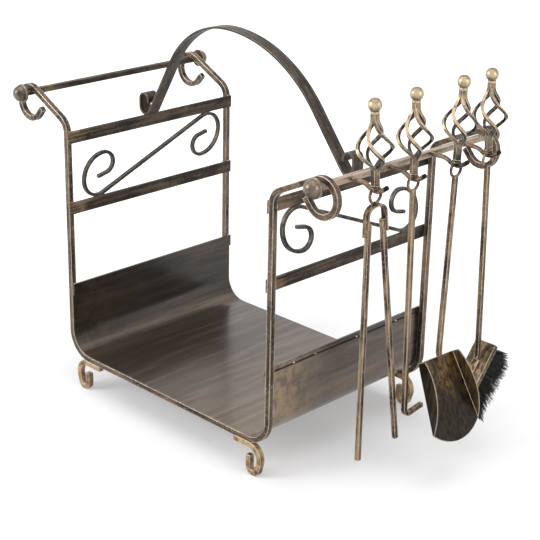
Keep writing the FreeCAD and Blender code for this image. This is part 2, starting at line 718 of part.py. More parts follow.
def build_arm(end, leg_spot):
    """One arm along the inner face of its leg, and the rivet through both."""
    body = new_body(f"tongs_{end_word(end)}_arm")
    section = flat_sketch(body, "section", "XY_Plane", "-arm_start")
    oblong(section, "rod_size", "rod_size")
    pad(body, section, "arm_length", backwards=True)
    hole = flat_sketch(body, "rivet_hole", "XZ_Plane")
    circle(hole, "rivet / 2 + rivet_gap", "0", "-rivet_place")
    cut_through(body, hole)
    inward = Placement(Vector(0, -end * value("(rod_size + bow_thickness) / 2"), 0), Rotation())
    hang(body, "tongs", leg_spot * inward)

    rivet = domed_pin(f"tongs_{end_word(end)}_rivet", "rivet", "bow_thickness + rod_size")
    outward = Placement(Vector(0, end * value("bow_thickness / 2"), -value("rivet_place")),
                        Rotation(Vector(0, 0, 1), 90 * (1 - end)))
    hang(rivet, "tongs", leg_spot * outward)


def build_poker():
    """Shaft with its end turned square to the back."""
    body = new_body("poker_shaft")
    add_eye(body)
    section, route = add_shaft(body, "YZ_Plane")
    route.line("poker_length").arc("poker_corner", "poker_tip_turn", 1).line("poker_tip")
    sweep(body, section, route, "shaft")
    hang(body, "poker")


def build_shovel():
    """Shaft lapped on the back of a folded sheet pan."""
    body = new_body("shovel_shaft")
    add_eye(body)
    section, route = add_shaft(body, "XZ_Plane")
    route.line("shovel_length").arc("shovel_bend", "shovel_tilt", 1).line("shovel_lap")
    sweep(body, section, route, "shaft")
    hang(body, "shovel")

    pan = new_body("shovel_pan")
    floor = flat_sketch(pan, "floor", "YZ_Plane")
    pan_outline(floor)
    pad(pan, floor, "pan_sheet")
    taper = "atan((pan_mouth - pan_top) / 2 / pan_length)"
    fold = Placement(Vector(), Rotation(Vector(1, 0, 0), value(taper)))
    flange = flat_sketch(pan, "flange", "XZ_Plane", "-pan_top / 2", fold)
    flange_outline(flange, f"(pan_length / cos({taper}))")
    mirror(pan, pad(pan, flange, "pan_sheet"), "XZ_Plane")

    tilt = value("shovel_tilt")
    lap_start = Vector(value("shovel_bend * (1 - cos(shovel_tilt))"), 0,
                       -value(f"{EYE_BITE} + shovel_length + shovel_bend * sin(shovel_tilt)"))
    turned = Rotation(Vector(0, 1, 0), -tilt)
    seat = turned.multVec(Vector(value("rod_size / 2"), -value("pan_offset"), 0))
    hang(pan, "shovel", Placement(lap_start + seat, turned))


def pan_outline(sketch):
    """Tapered pan floor with a rounded lip."""
    top, mouth, length, lip = (value(name) for name in ("pan_top", "pan_mouth", "pan_length", "pan_round"))
    corners = [Vector(-mouth / 2, -length, 0), Vector(-top / 2, 0, 0), Vector(top / 2, 0, 0),
               Vector(mouth / 2, -length, 0)]
    for first, last in zip(corners, corners[1:]):
        sketch.addGeometry(Part.LineSegment(first, last))
    sketch.addGeometry(Part.Arc(corners[0], Vector(0, -length - lip, 0), corners[-1]))
    for index in (0, 1):
        sketch.addConstraint(Sketcher.Constraint("Coincident", index, 2, index + 1, 1))
    sketch.addConstraint(Sketcher.Constraint("Coincident", 2, 2, 3, 2))
    sketch.addConstraint(Sketcher.Constraint("Coincident", 0, 1, 3, 1))
    pin_point(sketch, 0, 1, "-pan_mouth / 2", "-pan_length")
    pin_point(sketch, 0, 2, "-pan_top / 2", "0")
    pin_point(sketch, 1, 2, "pan_top / 2", "0")
    pin_point(sketch, 2, 2, "pan_mouth / 2", "-pan_length")
    bind(sketch, "((pan_mouth / 2) ^ 2 + pan_round ^ 2) / (2 * pan_round)", "Radius", 3)


def flange_outline(sketch, length):
    """Side flange whose free edge is one arc, tallest near the middle."""
    names = ("pan_flange_top", "pan_flange_end", length, "pan_flange_round")
    top, end, long, size = (value(name) for name in names)
    points = [Vector(0, -long, 0), Vector(0, 0, 0), Vector(top, 0, 0), Vector(end, -long, 0)]
    chord = points[2] - points[3]
    inward = Vector(-chord.y, chord.x, 0).normalize() * math.sqrt(size ** 2 - (chord.Length / 2) ** 2)
    middle = (points[2] + points[3]) / 2 + inward
    begin = math.atan2(points[3].y - middle.y, points[3].x - middle.x)
    finish = math.atan2(points[2].y - middle.y, points[2].x - middle.x)
    sketch.addGeometry(Part.LineSegment(points[0], points[1]))
    sketch.addGeometry(Part.LineSegment(points[1], points[2]))
    sketch.addGeometry(Part.ArcOfCircle(Part.Circle(middle, Vector(0, 0, 1), size), begin, finish))
    sketch.addGeometry(Part.LineSegment(points[3], points[0]))
    for first, last in (((0, 2), (1, 1)), ((1, 2), (2, 2)), ((2, 1), (3, 1)), ((3, 2), (0, 1))):
        sketch.addConstraint(Sketcher.Constraint("Coincident", *first, *last))
    pin_point(sketch, 0, 1, "0", f"-{length}")
    pin_point(sketch, 0, 2, "0", "0")
    pin_point(sketch, 1, 2, "pan_flange_top", "0")
    pin_point(sketch, 3, 1, "pan_flange_end", f"-{length}")
    bind(sketch, "pan_flange_round", "Radius", 2)


def build_brush():
    """Shaft flattened to a tongue and screwed to a tilted bristle block."""
    body = new_body("brush_shaft")
    add_eye(body)
    section, route = add_shaft(body, "YZ_Plane")
    route.line("brush_length").arc("brush_bend", "brush_tilt", -1).line("brush_lap")
    sweep(body, section, route, "shaft")
    end = Vector(0, route.at.x, route.at.y)
    turned = Rotation(Vector(1, 0, 0), -value("brush_tilt"))
    seat = Placement(end + turned.multVec(Vector(0, value("rod_size / 2"), 0)), turned)

    upright = Placement(Vector(), Rotation(Vector(1, 0, 0), 90))
    tongue = flat_sketch(body, "tongue", "XZ_Plane", spot=upright.inverse() * seat * upright)
    polygon(tongue, [("-tongue_width / 2", "0"), ("-tongue_width / 2", "-tongue_length"),
                     ("tongue_width / 2", "-tongue_length"), ("tongue_width / 2", "0")])
    circle(tongue, "screw / 2 + rivet_gap", "0", "screw_inset - tongue_length")
    pad(body, tongue, "tongue_thickness")
    hang(body, "brush")

    middle = seat * Placement(Vector(0, 0, value("screw_inset - tongue_length")), Rotation())
    block = new_body("brush_block")
    face = flat_sketch(block, "face", "XZ_Plane")
    oblong(face, "block_width", "block_length")
    pad(block, face, "block_thickness", backwards=True)
    bore = flat_sketch(block, "bore", "XZ_Plane")
    circle(bore, "screw / 2 + rivet_gap")
    pocket = block.newObject("PartDesign::Pocket", "screw_hole")
    pocket.Profile = bore
    pocket.Length = value("screw_reach + rivet_gap")
    pocket.setExpression("Length", bound("screw_reach + rivet_gap"))
    hang(block, "brush", middle)

    screw = domed_pin("brush_screw", "screw", "tongue_thickness + screw_reach")
    on_tongue = Placement(Vector(0, -value("tongue_thickness"), 0), Rotation(Vector(0, 0, 1), 180))
    hang(screw, "brush", middle * on_tongue)

    bristles = new_body("brush_bristles")
    roots = flat_sketch(bristles, "roots", "XZ_Plane", "-block_thickness")
    oblong(roots, "block_width - 2 * bristle_inset", "block_length - 2 * bristle_inset")
    tips = flat_sketch(bristles, "tips", "XZ_Plane", "-block_thickness - bristle_length")
    wide = "(block_width / 2 - bristle_inset + bristle_flare)"
    high = "block_length / 2 - bristle_inset + bristle_flare"
    low = "bristle_inset - block_length / 2 - bristle_droop"
    polygon(tips, [(f"-{wide}", low), (wide, low), (wide, high), (f"-{wide}", high)])
    tuft = bristles.newObject("PartDesign::AdditiveLoft", "tuft")
    tuft.Profile = roots
    tuft.Sections = [tips]
    tuft.Ruled = True
    hang(bristles, "brush", middle)


build_frames()
build_rails()
build_slats()
build_tray()
build_ornaments()
build_handle()
build_feet()
build_hooks()
for tool_name in ("tongs", "poker", "shovel", "brush"):
    build_grip(tool_name)
build_tongs()
build_poker()
build_shovel()
build_brush()
doc.recompute()

for item in doc.Objects:
    if "Invalid" in item.State or "Error" in item.State:
        raise RuntimeError(f"{item.Label} failed: {item.State}")
for part in sub_parts:
    if part.Shape.isNull() or not part.Shape.isValid() or not part.Shape.Solids:
        raise RuntimeError(f"{part.Label} has no valid solid")

os.makedirs("parts", exist_ok=True)
for part in sub_parts:
    part.Shape.exportStep(f"parts/{part.Label}.step")
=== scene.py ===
"""Looks of the log carrier: camera, light, metal finishes, bristles, spring bow and welds."""
import itertools
import json
import math
import random

import bmesh
import bpy
from mathutils import Matrix, Vector, noise


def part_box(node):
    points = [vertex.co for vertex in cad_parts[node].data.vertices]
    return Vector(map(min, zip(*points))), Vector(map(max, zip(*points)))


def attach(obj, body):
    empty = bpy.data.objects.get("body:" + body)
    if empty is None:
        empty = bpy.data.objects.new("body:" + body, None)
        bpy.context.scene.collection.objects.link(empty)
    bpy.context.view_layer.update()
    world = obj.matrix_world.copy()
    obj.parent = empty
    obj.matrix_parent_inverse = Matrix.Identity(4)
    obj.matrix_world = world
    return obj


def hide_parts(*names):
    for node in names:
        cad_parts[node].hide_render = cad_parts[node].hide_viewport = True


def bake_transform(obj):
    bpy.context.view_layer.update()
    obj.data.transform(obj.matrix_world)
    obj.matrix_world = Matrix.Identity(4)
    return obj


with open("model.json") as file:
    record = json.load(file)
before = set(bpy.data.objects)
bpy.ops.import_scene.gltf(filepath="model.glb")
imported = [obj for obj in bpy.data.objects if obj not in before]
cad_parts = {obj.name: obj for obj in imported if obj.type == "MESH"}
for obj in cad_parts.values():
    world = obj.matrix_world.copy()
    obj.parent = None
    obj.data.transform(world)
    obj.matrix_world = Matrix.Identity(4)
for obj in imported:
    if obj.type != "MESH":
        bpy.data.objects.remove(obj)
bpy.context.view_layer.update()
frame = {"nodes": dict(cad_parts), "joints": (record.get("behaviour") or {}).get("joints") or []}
nodes = frame["nodes"]

MM = 0.001
BAR = 8 * MM
TOOLS = ("tongs", "poker", "shovel", "brush")
SIDES = ("left", "right")
ENDS = ("front", "back")
ACROSS = Vector((1, 0, 0))

# The carrier's own middle and the level of its bottom bars
tray_low, tray_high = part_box("log_tray")
MIDDLE_X = (tray_low.x + tray_high.x) / 2
BAR_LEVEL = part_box("front_frame")[0].z + BAR / 2

# Camera: a long lens at the front right that looks down a little, lens and sensor in millimetres
AZIMUTH = math.radians(44.555)
ELEVATION = math.radians(21.447)
ROLL = math.radians(1.146)
EYE = Vector((1.40609 + MIDDLE_X, -1.37646, 0.92633 + BAR_LEVEL))
LENS = 95.65
SENSOR_WIDTH = 36
VIEW_LIMIT = 60


def place_camera():
    back = Vector((
        math.sin(AZIMUTH) * math.cos(ELEVATION),
        -math.cos(AZIMUTH) * math.cos(ELEVATION),
        math.sin(ELEVATION),
    ))
    level = Vector((math.cos(AZIMUTH), math.sin(AZIMUTH), 0))
    upright = back.cross(level)
    right = level * math.cos(ROLL) + upright * math.sin(ROLL)
    up = back.cross(right)
    turn = Matrix((right, up, back)).transposed().to_4x4()
    data = bpy.data.cameras.new("camera")
    data.lens = LENS
    data.sensor_width = SENSOR_WIDTH
    data.clip_end = VIEW_LIMIT
    camera = bpy.data.objects.new("camera", data)
    camera.matrix_world = Matrix.Translation(EYE) @ turn
    bpy.context.scene.collection.objects.link(camera)
    bpy.context.scene.camera = camera


class NodeTree:
    """A node tree under construction. Inputs are plain values or the sockets of other nodes."""

    def __init__(self, tree):
        self.tree = tree

    def add(self, kind, settings=None, **inputs):
        node = self.tree.nodes.new(f"ShaderNode{kind}")
        for name, setting in (settings or {}).items():
            setattr(node, name, setting)
        for name, given in inputs.items():
            self.feed(node.inputs[name.replace("_", " ")], given)
        return node

    def feed(self, socket, given):
        if isinstance(given, bpy.types.NodeSocket):
            self.tree.links.new(given, socket)
        else:
            socket.default_value = given

    def feed_all(self, node, *given):
        for socket, value in zip(node.inputs, given):
            self.feed(socket, value)

    def math(self, operation, *given):
        node = self.add("Math", {"operation": operation})
        self.feed_all(node, *given)
        return node.outputs[0]

    def times(self, first, *others):
        """The product of two or more values."""
        for other in others:
            first = self.math("MULTIPLY", first, other)
        return first

    def vector(self, operation, *given):
        """Vector arithmetic, whose result is a number for a length or a dot product."""
        node = self.add("VectorMath", {"operation": operation})
        self.feed_all(node, *given)
        is_number = operation in ("LENGTH", "DOT_PRODUCT")
        return node.outputs["Value" if is_number else "Vector"]

    def part(self, vector, axis):
        """One coordinate of a vector."""
        return self.add("SeparateXYZ", Vector=vector).outputs[axis]

    def ramp(self, fac, low, high, start=0.0, end=1.0, course="SMOOTHSTEP"):
        """A value that goes from start to end while fac goes from low to high."""
        node = self.add("MapRange", {"interpolation_type": course}, Value=fac,
                        From_Min=low, From_Max=high, To_Min=start, To_Max=end)
        return node.outputs[0]

    def seen_directly(self):
        """1 for camera, glossy and transmission rays, so that the background shows white in them."""
        path = self.add("LightPath").outputs
        plain_or_mirrored = self.math("MAXIMUM", path["Is Camera Ray"], path["Is Glossy Ray"])
        return self.math("MAXIMUM", plain_or_mirrored, path["Is Transmission Ray"])


# Settings of the finishes: bevel, bump, reflection, clear coats, and shares of faces by their turn, for
# painted shade
BEVEL_SAMPLES = 6
BUMP_DEPTH = 0.6 * MM
SPECULAR_LEVEL = 0.25
LACQUER_ROUGHNESS = 0.2
POLISH_ROUGHNESS = 0.12
INWARD_TO_OUTWARD = (-0.35, 0.55, 0.05, 1.0)


class Finish(NodeTree):
    """A procedural material under construction."""

    def __init__(self, name):
        self.material = bpy.data.materials.new(name)
        self.material.use_nodes = True
        super().__init__(self.material.node_tree)
        self.tree.nodes.clear()
        self.place = self.add("TexCoord").outputs["Object"]
        self.normal = self.add("NewGeometry").outputs["Normal"]

    def stretched(self, scale, turn=(0, 0, 0)):
        """Coordinates squeezed along some axes, for streaks."""
        return self.add("Mapping", Vector=self.place, Scale=scale, Rotation=turn).outputs[0]

    def noise(self, scale, detail, roughness, place=None):
        node = self.add("TexNoise", Vector=place or self.place,
                        Scale=scale, Detail=detail, Roughness=roughness)
        return node.outputs["Fac"]

    def mix(self, fac, first, second):
        """From one colour to another. The inputs are by number, as several share a name."""
        node = self.add("Mix", {"data_type": "RGBA"})
        self.feed(node.inputs[0], fac)
        self.feed(node.inputs[6], first)
        self.feed(node.inputs[7], second)
        return node.outputs[2]

    def shift(self, first, second, share):
        """From one value to another as a third goes from 0 to 1."""
        return self.math("MULTIPLY_ADD", self.math("SUBTRACT", second, first), share, first)

    def blend(self, first, second, share):
        """Two values added, the second with some share of the whole."""
        return self.math("ADD", self.times(first, 1 - share), self.times(second, share))

    def edges(self, radius, low, high):
        """How near a surface point is to an edge, and the normal rounded over that edge."""
        rounded = self.add("Bevel", {"samples": BEVEL_SAMPLES}, Radius=radius).outputs[0]
        bend = self.math("SUBTRACT", 1.0, self.vector("DOT_PRODUCT", rounded, self.normal))
        return self.ramp(bend, low, high), rounded

    def facing_out(self, axis):
        """A small share on faces that look at an upright axis, 1 on those that look away from it."""
        away = self.vector("SUBTRACT", self.place, (axis.x, axis.y, 0.0))
        level = self.vector("MULTIPLY", away, (1.0, 1.0, 0.0))
        out = self.vector("NORMALIZE", level)
        return self.ramp(self.vector("DOT_PRODUCT", out, self.normal), *INWARD_TO_OUTWARD)

    def facing_up(self, low, high, below, above):
        """A share that goes with how far a face looks up: -1 is straight down and 1 straight up."""
        return self.ramp(self.part(self.normal, "Z"), low, high, below, above)

    def finish(self, colour, roughness, metallic, height, relief, normal=None,
               coat=0.0, coat_roughness=LACQUER_ROUGHNESS):
        """The shader with its fine bump and, where coat is given, a clear coat."""
        bump = self.add("Bump", Strength=relief, Distance=BUMP_DEPTH, Height=height)
        if normal is not None:
            self.feed(bump.inputs["Normal"], normal)
        shader = self.add("BsdfPrincipled", Base_Color=colour, Roughness=roughness, Metallic=metallic,
                          Normal=bump.outputs[0], Specular_IOR_Level=SPECULAR_LEVEL,
                          Coat_Weight=coat, Coat_Roughness=coat_roughness)
        if coat:
            self.feed(shader.inputs["Coat Normal"], bump.outputs[0])
        self.add("OutputMaterial", Surface=shader.outputs[0])
        return self.material


def rgb(red, green, blue):
    return (red, green, blue, 1.0)


def palette(dark, body, bright):
    """A metal's colours: in its dark streaks, between them, and where it is rubbed and has a painted
    highlight.
    """
    return rgb(*dark), rgb(*body), rgb(*bright)


# Metals, and the colours of their bare and burnt places
BRONZE = palette((0.022, 0.016, 0.012), (0.165, 0.114, 0.077), (0.98, 0.84, 0.66))
FOOT_BRONZE = palette((0.085, 0.058, 0.034), (0.55, 0.375, 0.225), (0.97, 0.80, 0.56))
KNOB_BRONZE = palette((0.040, 0.029, 0.021), (0.185, 0.136, 0.096), (0.72, 0.60, 0.46))
RAIL_BRONZE = palette((0.12, 0.092, 0.072), (0.50, 0.385, 0.295), (0.95, 0.82, 0.67))
HOOK_BRONZE = palette((0.034, 0.025, 0.018), (0.27, 0.185, 0.122), (0.95, 0.79, 0.60))
WIRE_BRONZE = palette((0.018, 0.016, 0.014), (0.085, 0.070, 0.058), (0.46, 0.40, 0.35))
SLAT_BRONZE = palette((0.022, 0.018, 0.015), (0.088, 0.066, 0.048), (0.28, 0.21, 0.14))
HANDLE_BRONZE = palette((0.024, 0.020, 0.017), (0.092, 0.074, 0.058), (0.34, 0.28, 0.22))
BRASS = palette((0.022, 0.015, 0.009), (0.285, 0.194, 0.114), (0.98, 0.84, 0.64))
GRIP_BRASS = palette((0.020, 0.014, 0.009), (0.45, 0.325, 0.20), (1.0, 0.93, 0.79))
BALL_BRASS = palette((0.085, 0.060, 0.038), (0.64, 0.50, 0.31), (0.80, 0.69, 0.50))
BLOCK_LACQUER = palette((0.045, 0.031, 0.018), (0.21, 0.145, 0.080), (0.92, 0.78, 0.56))
TACK_METAL = palette((0.40, 0.33, 0.25), (0.86, 0.77, 0.63), (0.96, 0.90, 0.80))
TRAY_LACQUER = palette((0.005, 0.004, 0.0035), (0.055, 0.039, 0.027), (0.27, 0.19, 0.13))
BARE_BRONZE = rgb(0.30, 0.205, 0.12)
SCORCHED = rgb(0.006, 0.005, 0.005)

# Noises of the forged metal: features to the metre, detail and roughness
CLOUDS = (26.0, 5.0, 0.62)
MOTTLE = (70.0, 4.0, 0.6)
STREAKS = (210.0, 3.0, 0.55)
SPECKS = (240.0, 3.0, 0.6)
RUBBING_AND_SHEEN = (60.0, 4.0, 0.55)
RAGGED = (300.0, 4.0, 0.55)
PITS = (140.0, 3.0, 0.55)
GRAIN = (900.0, 2.0, 0.5)

# How streaks are drawn out along a bar: a small number is in the bar's own direction
UPRIGHT = (1.0, 1.0, 0.05)
LENGTHWISE = (1.0, 0.05, 1.0)
SIDEWAYS = (0.05, 1.0, 1.0)
HOOKWISE = (0.1, 1.0, 1.0)
ARCHWISE = (0.08, 1.0, 0.08)
ALL_WAYS = (1.0, 1.0, 1.0)

# Painted shade and painted dark reflection by how far a face looks up: where they start and end, and shares
# of brightness there
UNDER_SHADE = (-0.75, 0.35, 0.3, 1.0)
WIRE_UNDER_SHADE = (-0.35, 0.45, 0.2, 1.0)
CAP_REFLECTION = (0.25, 0.9, 1.0, 0.25)

# Heights between which a frame's streaks turn into its posts, and end below its scrolls
POST_FOOT = (BAR_LEVEL + 12 * MM, BAR_LEVEL + 35 * MM)
POST_TOP = (BAR_LEVEL + 320 * MM, BAR_LEVEL + 345 * MM)

# Other ramps of the forged metal: where they start and end and, if not 0 and 1, the values there
EDGE_BEND = (0.012, 0.16)
RUB_AND_SHEEN_PATCHES = (0.30, 0.55, 0.5, 1.0)
SPECK_LEVELS = (0.52, 0.72, 0.0, 0.18)
WIRE_RUB_AND_SHEEN = (0.0, 0.5, 0.25, 1.0)
BARE_FRONT = (tray_low.y, tray_low.y + 70 * MM, 0.9, 0.05)
BARE_PATCHES = (0.42, 0.60)
GLOSS_CLOUDS = (0.3, 0.75)

# Shares of the forged metal's noises, swings of its roughness and the painted shade of a basket's wires
STREAK_SHARE = 0.68
GRAIN_SHARE = 0.3
RAGGED_SHARE = 0.004
GRAIN_ROUGHNESS = 0.1
DULLER = 0.1
GLOSSIER = 0.06
WIRE_LIFT = 0.3
BUNDLE_SHADE = 0.66
BUNDLE_START = 16 * MM
BUNDLE_END = 30 * MM


def frame_streaks(look, mottle):
    """Level streaks in a frame's base, upright ones in its posts and mottling in its scrolls."""
    upright = look.noise(*STREAKS, look.stretched(UPRIGHT))
    level = look.noise(*STREAKS, look.stretched(SIDEWAYS))
    height = look.part(look.place, "Z")
    streaks = look.shift(level, upright, look.ramp(height, *POST_FOOT))
    return look.shift(streaks, mottle, look.ramp(height, *POST_TOP))


def basket_painted_shade(look, tone, low, high):
    """Painted shade: darkens a basket's wires where they face its middle and where they are bundled below.
    """
    outer = look.times(look.math("ADD", tone, WIRE_LIFT), look.facing_out((low + high) / 2))
    height = look.part(look.place, "Z")
    bundle = look.ramp(height, low.z + BUNDLE_START, low.z + BUNDLE_END, BUNDLE_SHADE, 1.0)
    return look.times(outer, bundle)


def bare_share(look, clouds, lines):
    """How far a slat is rubbed bare: in patches at its front end."""
    front = look.ramp(look.part(look.place, "Y"), *BARE_FRONT)
    return look.times(front, look.ramp(look.blend(clouds, lines, 0.5), *BARE_PATCHES))


def burnt_share(look, start, end):
    """1 beyond a ragged line across a hook's tip."""
    along = look.blend(look.part(look.place, "X"), look.noise(*RAGGED), RAGGED_SHARE)
    return look.ramp(along, start, end)


def forged_metal(name, colours, patch, wear_and_sheen, gloss, metallic, edge=1.1 * MM, drawn=None, posts=False,
                 basket=None, painted_shade=(), bare_end=False, burnt=None, relief=0.2, coat=0.0):
    """Bronze paint over iron: dark streaks along the bar, and edges rubbed bright with a painted highlight.

    patch is the range of noise from dark to body colour, wear_and_sheen how far the edges are rubbed and
    carry a painted highlight, gloss the usual roughness and edge the width of the rubbing and highlight.
    drawn gives the streaks' direction, and posts is set for a frame, which has several. basket is the box
    of a basket's wires, which are given painted shade, painted_shade holds ramps of painted shade, and of
    a painted dark reflection, by how far faces look up, bare_end is set for slats with a bare front, and
    burnt is the stretch of X in which a hook blackens.
    """
    look = Finish(name)
    dark, body, bright = colours
    clouds = look.noise(*CLOUDS)
    lines = look.noise(*MOTTLE)
    if posts:
        lines = frame_streaks(look, lines)
    elif drawn:
        lines = look.noise(*STREAKS, look.stretched(drawn))
    near_edge, rounded = look.edges(edge, *EDGE_BEND)
    # Edges rubbed bright in patches; the bright edge is also a painted highlight.
    rub_and_sheen = look.times(near_edge, look.ramp(look.noise(*RUBBING_AND_SHEEN), *RUB_AND_SHEEN_PATCHES))
    tone = look.ramp(look.blend(clouds, lines, STREAK_SHARE), *patch)
    if basket:
        tone = basket_painted_shade(look, tone, *basket)
        rub_and_sheen = look.times(rub_and_sheen, look.ramp(tone, *WIRE_RUB_AND_SHEEN))
    # Painted shade on faces that look down, and a painted dark reflection on a ball's cap.
    for shade_ramp in painted_shade:
        tone = look.times(tone, look.facing_up(*shade_ramp))
    base = look.mix(tone, dark, body)
    base = look.mix(look.ramp(look.noise(*SPECKS), *SPECK_LEVELS), base, bright)
    base = look.mix(look.times(rub_and_sheen, wear_and_sheen), base, bright)
    if bare_end:
        base = look.mix(bare_share(look, clouds, lines), base, BARE_BRONZE)
    if burnt:
        base = look.mix(burnt_share(look, *burnt), base, SCORCHED)
    grain = look.noise(*GRAIN)
    rough = look.ramp(clouds, *GLOSS_CLOUDS, gloss + DULLER, gloss - GLOSSIER)
    rough = look.math("MULTIPLY_ADD", grain, GRAIN_ROUGHNESS, rough)
    height = look.blend(look.noise(*PITS), grain, GRAIN_SHARE)
    return look.finish(base, rough, metallic, height, relief, rounded, coat, POLISH_ROUGHNESS)


# Tray sheet: colours, noises, and streaks drawn out along the depth
WORN_BROWN = rgb(0.35, 0.245, 0.14)
UPPER_BROWN = rgb(0.15, 0.10, 0.062)
RIM_SHADOW_BLACK = rgb(0.003, 0.0025, 0.002)
BROAD_BRUSHING = (9.0, 5.0, 0.6)
FINE_BRUSHING = (84.0, 6.0, 0.7)
TRAY_CLOUDS = (9.0, 4.0, 0.6)
TRAY_BLOTCHES = (48.0, 4.0, 0.7)
TRAY_GRAIN = (500.0, 2.0, 0.55)
BROAD_DRAWN = (1.0, 0.13, 1.0)
FINE_DRAWN = (1.0, 0.07, 1.0)

# Tray sheet: ramps over its places
WALL_START = tray_low.z + 4 * MM
FLOOR_ONLY = (WALL_START, WALL_START + 18 * MM, 1.0, 0.0)
UPPER_WALL = (tray_high.z - 60 * MM, tray_high.z, 0.0, 0.45)
RIM_SHADOW_BAND = (tray_high.z - 1.6 * MM, tray_high.z - 0.6 * MM)
SHEEN_RIGHT = (MIDDLE_X - 100 * MM, MIDDLE_X + 200 * MM, 0.0, 0.75)
WORN_FRONT = (tray_low.y, tray_low.y + 0.4 * (tray_high.y - tray_low.y), 1.0, 0.0)
WORN_RIGHT = (MIDDLE_X, MIDDLE_X + 200 * MM, 0.12, 1.0)
WORN_WALL = (WALL_START, WALL_START + 10 * MM, 0.25, 1.0)

# Tray sheet: ramps over its noises and edges
TRAY_EDGE_BEND = (0.02, 0.3)
WORN_BLOTCHES = (0.43, 0.58)
UPPER_PATCHES = (0.42, 0.62)
SCRATCH_LEVELS = (0.46, 0.72, 0.0, 0.36)
STREAK_TONES = (0.38, 0.64)
SHEEN_STREAKS = (0.3, 0.7)
TRAY_ROUGHNESS = (0.3, 0.7, 0.42, 0.25)

# Tray sheet: shares of its noises and strengths of its effects
FINE_SHARE = 0.42
CLOUD_SHARE = 0.22
PATCH_SHARE = 0.6
TRAY_GRAIN_SHARE = 0.4
FLOOR_PALENESS = 0.15
WALL_SCRATCHES = 0.3
WORN_STRENGTH = 0.85
TRAY_EDGE_STRENGTH = 0.8
TRAY_EDGE = 0.9 * MM
TRAY_METALLIC = 0.7
TRAY_RELIEF = 0.08
TRAY_COAT = 0.75


def worn_share(look, x, y, z, clouds):
    """How far the tray is worn: in blotches near its front edge, mostly on its right wall."""
    blotches = look.blend(clouds, look.noise(*TRAY_BLOTCHES), PATCH_SHARE)
    return look.times(
        look.ramp(y, *WORN_FRONT),
        look.ramp(x, *WORN_RIGHT),
        look.ramp(z, *WORN_WALL),
        look.ramp(blotches, *WORN_BLOTCHES),
        WORN_STRENGTH,
    )


def streaked_sheet(name, painted_rim_shadow=False):
    """Lacquered sheet, brushed along the depth, browner at its top and worn at its front."""
    look = Finish(name)
    dark, body, bright = TRAY_LACQUER
    x, y, z = (look.part(look.place, axis) for axis in "XYZ")
    broad = look.noise(*BROAD_BRUSHING, look.stretched(BROAD_DRAWN))
    fine = look.noise(*FINE_BRUSHING, look.stretched(FINE_DRAWN))
    clouds = look.noise(*TRAY_CLOUDS)
    streak = look.blend(look.blend(broad, fine, FINE_SHARE), clouds, CLOUD_SHARE)
    patches = look.ramp(look.blend(clouds, broad, PATCH_SHARE), *UPPER_PATCHES)
    near_edge, rounded = look.edges(TRAY_EDGE, *TRAY_EDGE_BEND)
    floor = look.ramp(z, *FLOOR_ONLY)
    scratches = look.times(look.ramp(fine, *SCRATCH_LEVELS), look.shift(WALL_SCRATCHES, 1.0, floor))
    # A painted sheen: lighter in streaks towards the right.
    painted_sheen = look.times(look.ramp(x, *SHEEN_RIGHT), look.ramp(streak, *SHEEN_STREAKS))
    base = look.mix(look.ramp(streak, *STREAK_TONES), dark, body)
    base = look.mix(look.times(floor, FLOOR_PALENESS), base, bright)
    base = look.mix(look.times(look.ramp(z, *UPPER_WALL), patches), base, UPPER_BROWN)
    base = look.mix(scratches, base, bright)
    base = look.mix(painted_sheen, base, bright)
    base = look.mix(worn_share(look, x, y, z, clouds), base, WORN_BROWN)
    # Lighter along the sheet's edges: a painted highlight.
    base = look.mix(look.times(near_edge, TRAY_EDGE_STRENGTH), base, bright)
    # A painted shadow along the rim, for the dark gap between the sheet and the slat above it.
    if painted_rim_shadow:
        base = look.mix(look.ramp(z, *RIM_SHADOW_BAND), base, RIM_SHADOW_BLACK)
    rough = look.ramp(streak, *TRAY_ROUGHNESS)
    height = look.blend(fine, look.noise(*TRAY_GRAIN), TRAY_GRAIN_SHARE)
    return look.finish(base, rough, TRAY_METALLIC, height, TRAY_RELIEF, rounded, TRAY_COAT)


# Shovel pan: pairs of colours in and between its scratches, noises, and scratches along its slope
PAN_DARK = (rgb(0.005, 0.004, 0.003), rgb(0.040, 0.029, 0.018))
PAN_GOLD = (rgb(0.017, 0.010, 0.004), rgb(0.185, 0.116, 0.048))
FLANGE_GOLD_AND_LIGHT = (rgb(0.07, 0.045, 0.02), rgb(0.42, 0.29, 0.14))
PAN_RUBBED_AND_SHEEN = rgb(0.95, 0.83, 0.64)
PAN_BROAD = (36.0, 5.0, 0.6)
PAN_FINE = (190.0, 5.0, 0.7)
PAN_CLOUDS = (30.0, 3.0, 0.6)
PAN_DRAWN = (1.0, 1.0, 0.14)
PAN_SLOPE = math.radians(-27)

# Shovel pan: ramps over places and noises, and strengths
pan_low, pan_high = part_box("shovel_pan")
FAR_SIDE = ((pan_low.y + pan_high.y) / 2, pan_high.y - 20 * MM)
GOLD_HEIGHT = (pan_low.z + 28 * MM, pan_high.z - 12 * MM)
GOLD_DRIFT = 160 * MM
GOLD_CLOUDS = (0.36, 0.56, 0.45, 1.0)
FLANGE_FACING = (0.5, 0.8, 0.0, 0.8)
FLANGE_STREAKS = (0.36, 0.56, 0.35, 1.0)
NEAR_FLANGE_SHADE = 1.1
PAN_EDGE = 1.3 * MM
PAN_EDGE_BEND = (0.02, 0.22)
PAN_EDGE_STRENGTH = 0.95
PAN_SCRATCHES = (0.34, 0.68)
PAN_ROUGHNESS = (0.3, 0.7, 0.46, 0.32)
PAN_METALLIC = 0.75
PAN_RELIEF = 0.14
PAN_COAT = 0.1


